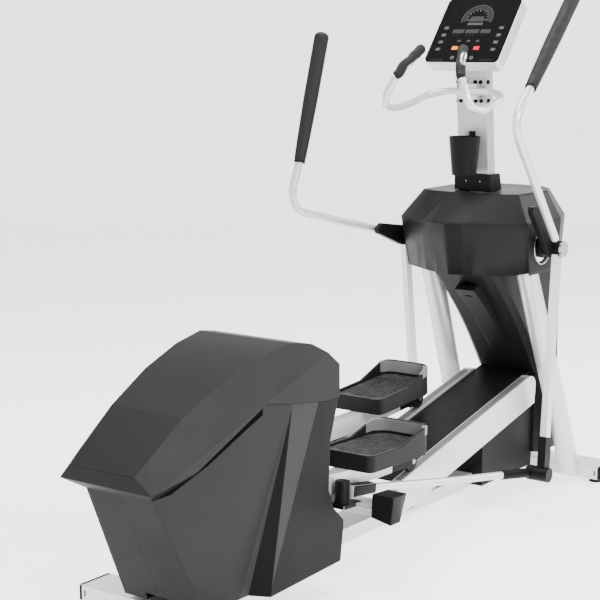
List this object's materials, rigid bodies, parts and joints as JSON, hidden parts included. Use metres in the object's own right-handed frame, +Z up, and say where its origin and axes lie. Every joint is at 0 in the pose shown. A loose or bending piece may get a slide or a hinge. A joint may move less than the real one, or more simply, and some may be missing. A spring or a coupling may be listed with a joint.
{
  "type": "elliptical trainer",
  "caption": "Elliptical trainer: rear drive housing, pedal trays on an inclined roller ramp, swinging handlebars, fixed grip bar, bottle holder and tilted console on a mast.",
  "frame": {"origin": "floor level under the middle of the machine's overall length and width", "axes": "+X forward from the rear drive housing to the console, +Y to the user's left, +Z up"},
  "size_m": [2.364, 0.804, 1.7687],
  "materials": {
    "pearl_paint": "satin",
    "steel": "satin",
    "silver_plastic": "satin",
    "charcoal_plastic": "satin",
    "black_plastic": "matte",
    "rubber": "matte",
    "gloss_panel": "gloss",
    "amber_key": "satin",
    "red_key": "satin"
  },
  "bodies": {
    "frame": {"rear_stabiliser": "pearl_paint", "front_stabiliser": "pearl_paint", "base_beam": "pearl_paint", "ramp_frame": "pearl_paint", "leg_frame": "pearl_paint", "upright_post": "pearl_paint", "console_mast": "pearl_paint", "pulse_bar": "pearl_paint", "pivot_shaft": "steel", "drive_frame": "steel", "console_housing": "silver_plastic", "head_cover": "charcoal_plastic", "column_cover": "charcoal_plastic", "rear_crown": "charcoal_plastic", "rear_cover_left": "charcoal_plastic", "rear_cover_right": "charcoal_plastic", "ramp_cover": "black_plastic", "mast_collar": "black_plastic", "bottle_holder": "black_plastic", "base_cover": "black_plastic", "brake_magnet": "black_plastic", "rear_foot_left": "rubber", "rear_foot_right": "rubber", "front_foot_left": "rubber", "front_foot_right": "rubber", "pulse_grip_left": "rubber", "pulse_grip_right": "rubber", "drive_belt": "rubber", "console_panel": "gloss_panel"},
    "left_swing": {"handle_tube_left": "pearl_paint", "handle_grip_left": "rubber", "handle_bracket_left": "black_plastic", "swing_arm_left": "pearl_paint", "swing_boot_left": "black_plastic"},
    "left_carriage": {"roller_axle_left": "steel"},
    "left_roller": {"roller_left": "rubber"},
    "left_pedal": {"pedal_arm_left": "pearl_paint", "roller_fork_left": "black_plastic", "outrigger_cover_left": "black_plastic", "pedal_left": "charcoal_plastic", "pedal_mat_left": "rubber"},
    "left_rod": {"pull_rod_left": "pearl_paint"},
    "right_swing": {"handle_tube_right": "pearl_paint", "handle_grip_right": "rubber", "handle_bracket_right": "black_plastic", "swing_arm_right": "pearl_paint", "swing_boot_right": "black_plastic"},
    "right_carriage": {"roller_axle_right": "steel"},
    "right_roller": {"roller_right": "rubber"},
    "right_pedal": {"pedal_arm_right": "pearl_paint", "roller_fork_right": "black_plastic", "outrigger_cover_right": "black_plastic", "pedal_right": "charcoal_plastic", "pedal_mat_right": "rubber"},
    "right_rod": {"pull_rod_right": "pearl_paint"},
    "crank": {"crank_set": "steel", "drive_pulley": "black_plastic"},
    "flywheel": {"flywheel": "steel"},
    "start_key": {"start_key": "amber_key"},
    "stop_key": {"stop_key": "red_key"}
  },
  "joints": [
    {"name": "right_swing", "type": "hinge", "parent": "frame", "child": "right_swing", "pos_m": [0.755, 0, 0.903], "axis": [0, -1, 0], "range_deg": [0, 31.28]},
    {"name": "right_carriage_slide", "type": "slide", "parent": "frame", "child": "right_carriage", "axis": [0.9759, 0, 0.2181], "range_m": [0, 0.433]},
    {"name": "right_roller_spin", "type": "hinge", "parent": "right_carriage", "child": "right_roller", "pos_m": [0.11733, 0, 0.26879], "axis": [0, 1, 0], "range_deg": [0, 777]},
    {"name": "right_pedal_tilt", "type": "hinge", "parent": "right_carriage", "child": "right_pedal", "pos_m": [0.11733, 0, 0.26879], "axis": [0, -1, 0], "range_deg": [0, 4.97]},
    {"name": "right_rod_pivot", "type": "hinge", "parent": "right_pedal", "child": "right_rod", "pos_m": [-0.33297, 0, 0.2803], "axis": [0, 1, 0], "range_deg": [0, 8.59]},
    {"name": "left_swing", "type": "hinge", "parent": "frame", "child": "left_swing", "pos_m": [0.755, 0, 0.903], "axis": [0, 1, 0], "range_deg": [0, 31.28]},
    {"name": "left_carriage_slide", "type": "slide", "parent": "frame", "child": "left_carriage", "axis": [-0.9759, 0, -0.2181], "range_m": [0, 0.433]},
    {"name": "left_roller_spin", "type": "hinge", "parent": "left_carriage", "child": "left_roller", "pos_m": [0.53985, 0, 0.36323], "axis": [0, -1, 0], "range_deg": [0, 777]},
    {"name": "left_pedal_tilt", "type": "hinge", "parent": "left_carriage", "child": "left_pedal", "pos_m": [0.53985, 0, 0.36323], "axis": [0, 1, 0], "range_deg": [0, 4.97]},
    {"name": "left_rod_pivot", "type": "hinge", "parent": "left_pedal", "child": "left_rod", "pos_m": [0.09025, 0, 0.33571], "axis": [0, -1, 0], "range_deg": [0, 8.59]},
    {"name": "flywheel_spin", "type": "hinge", "parent": "frame", "child": "flywheel", "pos_m": [-0.665, 0, 0.56], "axis": [0, 1, 0], "continuous": true},
    {"name": "crank_spin", "type": "hinge", "parent": "frame", "child": "crank", "pos_m": [-0.76, 0, 0.345], "axis": [0, 1, 0], "continuous": true},
    {"name": "start_key_press", "type": "slide", "parent": "frame", "child": "start_key", "axis": [0.7771, 0, -0.6293], "range_m": [0, 0.0012], "stiffness_N_per_m": 800},
    {"name": "stop_key_press", "type": "slide", "parent": "frame", "child": "stop_key", "axis": [0.7771, 0, -0.6293], "range_m": [0, 0.0012], "stiffness_N_per_m": 800}
  ],
  "couplings": [
    {"joint": "right_carriage_slide", "follows": "right_swing", "m_per_rad": 0.79302},
    {"joint": "right_roller_spin", "follows": "right_swing", "ratio": 24.782},
    {"joint": "right_pedal_tilt", "follows": "right_swing", "ratio": 0.15882},
    {"joint": "right_rod_pivot", "follows": "right_swing", "ratio": 0.27458},
    {"joint": "left_swing", "follows": "right_swing", "ratio": 1},
    {"joint": "left_carriage_slide", "follows": "right_swing", "m_per_rad": 0.79302},
    {"joint": "left_roller_spin", "follows": "right_swing", "ratio": 24.782},
    {"joint": "left_pedal_tilt", "follows": "right_swing", "ratio": 0.15882},
    {"joint": "left_rod_pivot", "follows": "right_swing", "ratio": 0.27458},
    {"joint": "crank_spin", "follows": "flywheel_spin", "ratio": 0.16}
  ]
}
